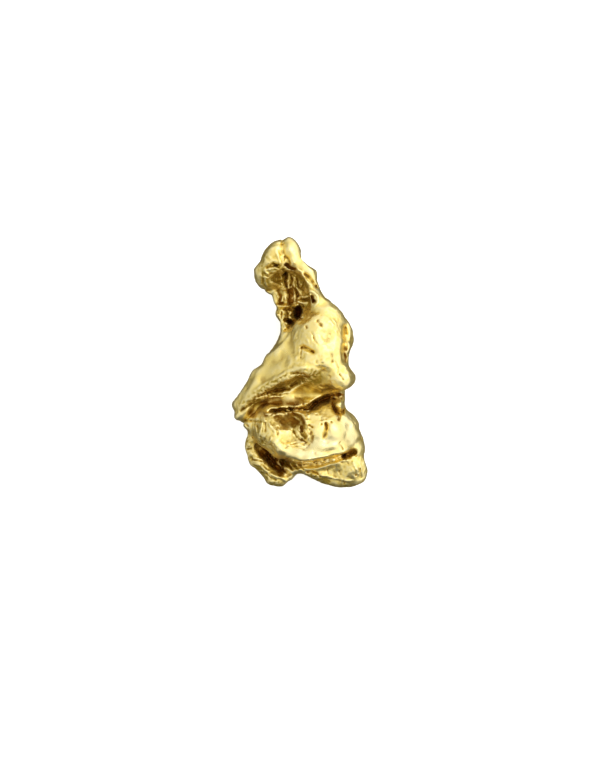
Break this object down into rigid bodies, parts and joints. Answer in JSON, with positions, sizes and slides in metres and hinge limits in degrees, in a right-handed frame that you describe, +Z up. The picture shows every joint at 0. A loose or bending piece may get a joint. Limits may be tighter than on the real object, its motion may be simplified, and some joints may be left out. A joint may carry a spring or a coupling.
{
  "type": "gold nugget",
  "caption": "Small natural placer gold nugget with a knob, a hollow neck, a wedge-shaped body and lobed feet, lying on its back.",
  "frame": {"origin": "on the ground under the middle of the nugget's box", "axes": "+Z up from the ground, +Y from the feet to the knob, +X to the right seen from above"},
  "size_m": [0.0042, 0.0078, 0.0026],
  "materials": {
    "gold": "burnished natural gold, satin in the hollows"
  },
  "bodies": {
    "root": {"nugget": "gold"}
  },
  "joints": []
}
